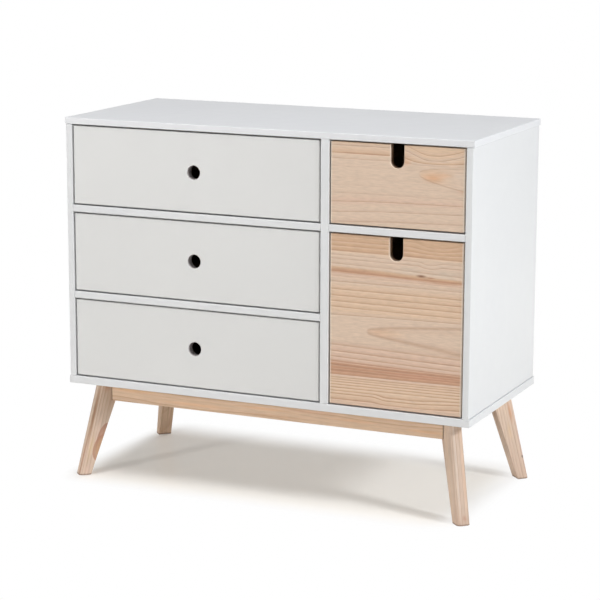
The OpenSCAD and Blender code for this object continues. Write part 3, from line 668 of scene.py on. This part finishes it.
# A leg's outer edge: how far it stands from the cabinet's corner at the floor, and how far it
# leans in for each metre up. Its colours, patches, knots and painted contact shadow at the foot
# follow.
LEG_EDGE, LEG_SLOPE = 0.01556, 0.244
LEG_PALE, LEG_DARK, LEG_YEARS = srgb(234, 210, 190), srgb(188, 146, 118), (0.2, 0.8)
LEG_DRIFT = ((8.0, 8.0, 3.0), 0.006)
ROSY, ROSY_FINE = srgb(226, 192, 172), (30.0, 30.0, 9.0)
ROSY_FROM, ROSY_TO, ROSY_MOST = 0.45, 0.75, 0.5
KNOT_EDGE, KNOT_FILL, KNOT_RING = 0.92, 0.5, 0.9
FOOT_PAINTED_SHADOW, FOOT_REACH, FOOT_STRENGTH = srgb(120, 92, 74), 0.005, 0.8


def leg_place(finish, way):
    """Place on a leg: inwards from its outer edge, sideways from its middle, and up."""
    outward = Vector((*way, 0)).normalized()
    sideways = Z.cross(outward)
    corner = (cad_high.x + cad_high.y) / math.sqrt(2)
    up = finish.axis(2)
    lean = finish.math("MULTIPLY_ADD", up, LEG_SLOPE, LEG_EDGE - corner)
    past_edge = finish.math("ADD", finish.vector("DOT_PRODUCT", finish.place, outward), lean)
    middle = sideways.x * way[0] * cad_high.x + sideways.y * way[1] * cad_high.y
    across = finish.vector("DOT_PRODUCT", finish.place, sideways)
    return finish.math("MULTIPLY", past_edge, -1.0), finish.math("SUBTRACT", across, middle), up


def leg_pine(name):
    """Pine of a leg, with its grain along the outer edge and its marks as the table above says."""
    leg = LEGS[name]
    finish = Finish(f"{name}_pine", specular=0.35)
    inward, across, up = leg_place(finish, leg["way"])
    where = finish.combine(inward, across, up)
    pith_in, pith_across, ring = leg["pith"]
    drift = finish.wander(where, *LEG_DRIFT)
    from_pith = finish.combine(finish.math("ADD", finish.math("SUBTRACT", inward, pith_in), drift),
                               finish.math("SUBTRACT", across, pith_across), 0.0)
    rings = finish.math("DIVIDE", finish.vector("LENGTH", from_pith), ring)
    late = late_wood(finish, rings, *LEG_YEARS, seed=pith_in)
    colour = finish.blend(late, LEG_PALE, LEG_DARK)
    patch = finish.remap(finish.noise(where, ROSY_FINE), ROSY_FROM, ROSY_TO, 0.0, ROSY_MOST)
    colour = finish.blend(patch, colour, ROSY)
    for at, reach, other, strength in leg["spots"]:
        colour = finish.tint(colour, finish.spot(where, at, reach), strength, other)
    for at, reach, fill, ring_colour, strength in leg["knots"]:
        away = finish.away(where, at, reach)
        mark = finish.blend(finish.fade(away, KNOT_FILL, KNOT_RING), fill, ring_colour)
        colour = finish.tint(colour, finish.fade(away, 1.0, KNOT_EDGE), strength, mark)
    # Painted contact shadow: darker within a few millimetres of the floor
    colour = finish.tint(colour, finish.fade(up, FOOT_REACH, 0.0), FOOT_STRENGTH, FOOT_PAINTED_SHADOW)
    # Tone, and painted shade: the front right leg is darker, offsetting the light that falls on it
    colour = finish.blend(1.0, colour, grey(leg["tone_and_shade"]), "MULTIPLY")
    show_grain(finish, colour, late, "z", BASE_FLECK, where)
    return finish.material


# Aprons: soft streaks along the grain, as place along and up, reach along and up, colour, strength
APRON_SPOTS = [
    ((-0.36, 0.209), (0.09, 0.012), srgb(222, 178, 138), 0.7),
    ((-0.2, 0.19), (0.14, 0.008), srgb(224, 180, 142), 0.6),
    ((-0.1, 0.216), (0.12, 0.005), srgb(186, 148, 118), 0.5),
    ((-0.02, 0.2), (0.1, 0.006), srgb(226, 178, 138), 0.5),
    ((0.02, 0.186), (0.12, 0.004), srgb(196, 152, 116), 0.5),
    ((0.1, 0.206), (0.1, 0.006), srgb(208, 164, 138), 0.5),
    ((0.2, 0.196), (0.09, 0.005), srgb(222, 176, 138), 0.6),
    ((0.3, 0.212), (0.1, 0.008), srgb(224, 186, 154), 0.6),
    ((0.38, 0.19), (0.08, 0.006), srgb(218, 174, 134), 0.6),
]
APRON_PALE, APRON_DARK, APRON_YEARS = srgb(216, 186, 159), srgb(180, 136, 104), (0.1, 0.8)
APRON_RING, APRON_SLOPE, APRON_DRIFT = 0.0085, 0.02, ((3.0, 3.0, 6.0), 0.018)

# Dark joints where an apron meets the legs, and painted shadow along its top under the bottom
# panel: from, to, in metres inside
JOINT_AND_SHADOW, JOINT_AND_SHADOW_STRENGTH = srgb(104, 82, 66), 0.7
END_JOINT, TOP_SHADOW, TOP_SHADOW_SHARE = (0.0026, 0.0006), (0.0035, 0.0005), 0.6


def apron_pine(name, seed):
    """Pine of an apron: warm, with long flat growth lines and soft orange streaks."""
    finish = Finish(f"{name}_pine", specular=0.35)
    x, up = finish.axis(0), finish.axis(2)
    where = finish.combine(finish.math("ADD", x, seed), finish.axis(1), up)
    height = finish.math("ADD", finish.math("MULTIPLY_ADD", x, APRON_SLOPE, up),
                         finish.wander(where, *APRON_DRIFT))
    rings = finish.math("DIVIDE", height, APRON_RING)
    late = late_wood(finish, rings, *APRON_YEARS, seed=seed)
    colour = finish.blend(late, APRON_PALE, APRON_DARK)
    face = finish.combine(x, up, 0.0)
    for (at_x, at_z), (reach_x, reach_z), other, strength in APRON_SPOTS:
        spot = finish.spot(face, (at_x, at_z, 0), (reach_x, reach_z, 0))
        colour = finish.tint(colour, spot, strength, other)
    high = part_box(name)[1]
    end = finish.fade(finish.math("ABSOLUTE", x), *(high.x - inside for inside in END_JOINT))
    # Painted shadow along the apron's top, under the bottom panel
    top = finish.fade(up, *(high.z - inside for inside in TOP_SHADOW))
    top = finish.math("MULTIPLY", top, TOP_SHADOW_SHARE)
    colour = finish.tint(colour, finish.math("MAXIMUM", end, top), JOINT_AND_SHADOW_STRENGTH, JOINT_AND_SHADOW)
    show_grain(finish, colour, late, "x", BASE_FLECK)
    return finish.material


# Zinc plate: its colour, the fineness of its bloom, and its roughness in it
ZINC, ZINC_FINE, ZINC_SMOOTH, ZINC_ROUGH = srgb(190, 192, 196), 300, 0.28, 0.45


def zinc_steel():
    """Bright zinc plate with a faint bloom."""
    finish = Finish("zinc_steel", metallic=1.0)
    finish.colour(ZINC)
    bloom = finish.noise(finish.place, ZINC_FINE)
    finish.roughness(finish.spread(bloom, ZINC_SMOOTH, ZINC_ROUGH))
    return finish.material


def dress_case():
    dress(lacquer("white_lacquer", *WHITE), "white_lacquer", "bottom_panel", "divider",
          "upper_left_rail", "lower_left_rail", "right_rail")
    dress(lacquer("side_lacquer", *WHITE, seam=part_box("top_panel")[0].z), "white_lacquer",
          "left_side_panel", "right_side_panel")
    # Lighter copy of the case lacquer, as painted light on the top
    dress(lacquer("lit_top_lacquer", *LIT_TOP_WHITE), "white_lacquer", "top_panel")
    dress(hardboard(), "hardboard", "back_panel")
    beech = plain_wood("beech", Z, X, pith=(0.1, 0.1), ring=0.003, pale=BEECH_PALE,
                       dark=BEECH_DARK)
    dress(beech, "beech", "case_dowels")


def dress_base():
    dress(zinc_steel(), "zinc_steel", "base_fasteners")
    dress(apron_pine("front_apron", seed=1.3), "pine", "front_apron")
    dress(apron_pine("back_apron", seed=4.1), "pine", "back_apron")
    blocks = plain_wood("block_pine", Z, X, pith=(0.2, 0.1), ring=0.005, pale=BOX_PALE,
                        dark=BOX_DARK, seed=3.0)
    dress(blocks, "box_pine", "corner_blocks")
    for name in LEGS:
        dress(leg_pine(name), "pine", name)


def dress_drawers():
    white_steel = lacquer("white_steel", *POWDER_COAT)
    nylon = lacquer("nylon", *NYLON)
    ply = plain_wood("plywood", X, Y, pith=(0.4, 0.9), ring=0.02, pale=PLY_PALE, dark=PLY_DARK,
                     seed=2.0, contrast=0.5)
    sides = plain_wood("drawer_side_pine", Y, Z, pith=(0.2, 0.25), ring=0.006, pale=BOX_PALE,
                       dark=BOX_DARK, seed=7.0, contrast=0.7)
    backs = plain_wood("drawer_back_pine", X, Z, pith=(0.15, 0.3), ring=0.006, pale=BOX_PALE,
                       dark=BOX_DARK, seed=9.0, contrast=0.7)
    dress(white_steel, "white_steel", "case_runners")
    for name in DRAWERS:
        dress(sides, "box_pine", f"{name}_left_side", f"{name}_right_side")
        dress(backs, "box_pine", f"{name}_back")
        dress(ply, "plywood", f"{name}_bottom")
        dress(white_steel, "white_steel", f"{name}_runners")
        dress(nylon, "nylon", f"{name}_case_rollers", f"{name}_drawer_rollers")
        if name in GRAIN:
            dress(front_pine(name), "pine", f"{name}_front")
        else:
            hole = middle_of(f"{name}_front")
            front = lacquer(f"{name}_front_lacquer", *FRONT_WHITE, hole=hole)
            dress(front, "front_lacquer", f"{name}_front")


# Small fasteners: each kind is one mesh that holds all its heads. Sizes are in metres, and STEEL
# is the thickness of the profiles that the screws hold.
HEAD_STEPS, DOME_STEPS = 24, 5
NAIL_RADIUS, NAIL_HEIGHT = 0.0021, 0.0007
NAIL_INSET, NAIL_SPACING = 0.004, 0.1
SCREW_RADIUS, SCREW_HEIGHT, SCREW_FLAT = 0.0032, 0.0002, 0.0029
SCREW_PLACES = (0.03, 0.155, 0.28)
RECESS_REACH, RECESS_HALF, RECESS_FLOOR = 0.0019, 0.0004, 0.1 * SCREW_HEIGHT
STEEL = 0.0012


def fastener_piece(name, body, heads):
    """Piece made of heads, each a place, the way that it faces and the function that draws it."""
    mesh = bmesh.new()
    for place, facing, draw in heads:
        drawn = bmesh.new()
        draw(drawn)
        turned = Vector(facing).to_track_quat("Z", "X").to_matrix().to_4x4()
        drawn.transform(Matrix.Translation(place) @ turned)
        made = bpy.data.meshes.new("head")
        drawn.to_mesh(made)
        drawn.free()
        mesh.from_mesh(made)
        bpy.data.meshes.remove(made)
    data = bpy.data.meshes.new(name)
    mesh.to_mesh(data)
    mesh.free()
    piece = bpy.data.objects.new(name, data)
    scene.collection.objects.link(piece)
    data.materials.append(nodes["base_fasteners"].data.materials[0])
    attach(piece, body)


def circle(mesh, radius, height):
    turns = [math.tau * step / HEAD_STEPS for step in range(HEAD_STEPS)]
    return [mesh.verts.new((radius * math.cos(turn), radius * math.sin(turn), height))
            for turn in turns]


def skin(mesh, outer, inner):
    """Band of faces between two loops with as many corners."""
    for i in range(len(outer)):
        mesh.faces.new((outer[i - 1], outer[i], inner[i], inner[i - 1])).smooth = True


def nail_head(mesh):
    """Low round dome."""
    tilts = [math.pi / 2 * step / DOME_STEPS for step in range(DOME_STEPS)]
    loops = [circle(mesh, NAIL_RADIUS * math.cos(tilt), NAIL_HEIGHT * math.sin(tilt))
             for tilt in tilts]
    for outer, inner in zip(loops, loops[1:]):
        skin(mesh, outer, inner)
    mesh.faces.new(loops[-1]).smooth = True
    mesh.faces.new(reversed(loops[0]))


def screw_head(mesh):
    """Thin flat head with a cross recess."""
    base, rim = circle(mesh, SCREW_RADIUS, 0.0), circle(mesh, SCREW_FLAT, SCREW_HEIGHT)
    skin(mesh, base, rim)
    mesh.faces.new(reversed(base))
    arm = [(RECESS_REACH, -RECESS_HALF), (RECESS_REACH, RECESS_HALF), (RECESS_HALF, RECESS_HALF)]
    outline = []
    for quarter in range(4):
        turn = Matrix.Rotation(math.pi / 2 * quarter, 2)
        outline += [turn @ Vector(point) for point in arm]
    mouth = [mesh.verts.new((x, y, SCREW_HEIGHT)) for x, y in outline]
    floor = [mesh.verts.new((x, y, RECESS_FLOOR)) for x, y in outline]
    skin(mesh, mouth, floor)
    mesh.faces.new(floor)
    edges = [mesh.edges.get((loop[i - 1], loop[i])) or mesh.edges.new((loop[i - 1], loop[i]))
             for loop in (rim, mouth) for i in range(len(loop))]
    bmesh.ops.triangle_fill(mesh, edges=edges, use_beauty=True)
    bmesh.ops.recalc_face_normals(mesh, faces=mesh.faces)


def nail_row(start, end):
    """Even places from start to end, about one nail spacing apart."""
    count = round((end - start) / NAIL_SPACING)
    return [start + (end - start) * step / count for step in range(count + 1)]


def make_nails():
    """Nails that hold the back panel, round its edges and along the divider."""
    low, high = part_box("back_panel")
    divider = middle_of("divider").x
    left, right = low.x + NAIL_INSET, high.x - NAIL_INSET
    foot, head = low.z + NAIL_INSET, high.z - NAIL_INSET
    places = [(x, z) for x in nail_row(left, right) for z in (foot, head)]
    places += [(x, z) for x in (left, divider, right) for z in nail_row(foot, head)[1:-1]]
    fastener_piece("back_panel_nails", "case", [((x, high.y, z), Y, nail_head) for x, z in places])


def make_runner_screws():
    """Screws that hold each drawer's steel profiles to its sides."""
    for name in DRAWERS:
        low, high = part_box(f"{name}_runners")
        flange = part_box(f"{name}_right_side")[1].x + STEEL
        middle = (low.x + high.x) / 2
        heads = []
        for way in (1, -1):
            x = middle + way * (flange - middle)
            heads += [((x, low.y + place, (low.z + high.z) / 2), X * way, screw_head)
                      for place in SCREW_PLACES]
        fastener_piece(f"{name}_runner_screws", f"{name}_drawer", heads)


def make_camera():
    yaw, pitch, roll = (math.radians(angle) for angle in (CAMERA_YAW, CAMERA_PITCH, CAMERA_ROLL))
    forward = Vector((math.sin(yaw) * math.cos(pitch), math.cos(yaw) * math.cos(pitch),
                      -math.sin(pitch)))
    level = Vector((math.cos(yaw), -math.sin(yaw), 0))
    upright = level.cross(forward)
    right = level * math.cos(roll) + upright * math.sin(roll)
    up = upright * math.cos(roll) - level * math.sin(roll)
    data = bpy.data.cameras.new("camera")
    data.lens = CAMERA_LENS
    data.sensor_width = CAMERA_SENSOR
    data.clip_end = CAMERA_FAR
    camera = bpy.data.objects.new("camera", data)
    turned = Matrix((right, up, -forward)).transposed().to_4x4()
    camera.matrix_world = Matrix.Translation(CAMERA_AT) @ turned
    scene.collection.objects.link(camera)
    scene.camera = camera


def make_lights():
    for name, (at, size, watts, colour) in SOFTBOXES.items():
        data = bpy.data.lights.new(name, "AREA")
        data.shape = "DISK"
        data.size = size
        data.energy = watts
        data.color = colour
        light = bpy.data.objects.new(name, data)
        light.location = at
        light.rotation_euler = (LIGHTS_AIM - Vector(at)).to_track_quat("-Z", "Y").to_euler()
        scene.collection.objects.link(light)
    # This one would be mirrored in the top panel
    bpy.data.objects["back_softbox"].visible_glossy = False
    scene.world = bpy.data.worlds.new("studio")
    scene.world.use_nodes = True
    background = scene.world.node_tree.nodes["Background"]
    background.inputs["Color"].default_value = PURE_WHITE
    background.inputs["Strength"].default_value = WORLD_LIGHT


def backdrop_white():
    """Pure white that takes no shade."""
    finish = Finish("backdrop_white", specular=0.0)
    finish.colour(PURE_BLACK)
    finish.roughness(1.0)
    finish.shader.inputs["Emission Color"].default_value = PURE_WHITE
    finish.shader.inputs["Emission Strength"].default_value = 1.0
    return finish.material


def floor_white():
    """Pale floor with a faint sheen."""
    finish = Finish("floor_white", specular=FLOOR_SPECULAR)
    finish.colour(FLOOR_COLOUR)
    finish.roughness(FLOOR_ROUGHNESS)
    return finish.material


def fade_white():
    """White that hides the floor past the footprint and, near its edges, paints light over the
    floor's shade; it is clear further inside.
    """
    finish = Finish("fade_white")
    low = finish.vector("SUBTRACT", finish.place, (CLEAR_LEFT, CLEAR_FRONT, 0))
    low = finish.vector("MULTIPLY", low, (-1 / FADE_LEFT, -1 / FADE_FRONT, 0))
    high = finish.vector("SUBTRACT", finish.place, (CLEAR_RIGHT, CLEAR_BACK, 0))
    high = finish.vector("MULTIPLY", high, (1 / FADE_RIGHT, 1 / FADE_BACK, 0))
    past = finish.vector("MAXIMUM", finish.vector("MAXIMUM", low, high), (0, 0, 0))
    # Painted light: the white also lifts the floor's shade under the cabinet's edges, where the
    # fade begins
    hidden = finish.fade(finish.vector("LENGTH", past), 0.0, 1.0)
    clear = finish.add("ShaderNodeBsdfTransparent").outputs[0]
    white = finish.add("ShaderNodeEmission", {"Color": PURE_WHITE, "Strength": 1.0}).outputs[0]
    mixed = finish.add("ShaderNodeMixShader", {0: hidden, 1: clear, 2: white}).outputs[0]
    finish.feed(finish.tree.nodes["Material Output"].inputs["Surface"], mixed)
    finish.tree.nodes.remove(finish.shader)
    return finish.material


def stage_piece(name, material, only_seen=False):
    """Names and dresses the object just added, which may be there for the camera alone."""
    piece = bpy.context.object
    piece.name = name
    piece.data.materials.append(material)
    if only_seen:
        piece.visible_diffuse = piece.visible_glossy = False
        piece.visible_transmission = piece.visible_shadow = False
    return piece


def make_stage():
    """Floor, the card just over it that fades it to white, and a white dome round everything."""
    disc = {"vertices": DISC_CORNERS, "radius": STAGE_REACH, "fill_type": "NGON"}
    bpy.ops.mesh.primitive_circle_add(**disc)
    floor = stage_piece("floor", floor_white())
    bpy.ops.mesh.primitive_circle_add(**disc)
    card = stage_piece("floor_fade", fade_white(), only_seen=True)
    for vertex in card.data.vertices:
        vertex.co.z = CARD_HEIGHT
    bpy.ops.mesh.primitive_uv_sphere_add(segments=DOME_SEGMENTS, ring_count=DOME_RINGS,
                                         radius=STAGE_REACH)
    dome = stage_piece("backdrop", backdrop_white(), only_seen=True)
    scene.view_settings.view_transform = "Standard"


dress_case()
dress_base()
dress_drawers()
make_nails()
make_runner_screws()
make_camera()
make_stage()
make_lights()
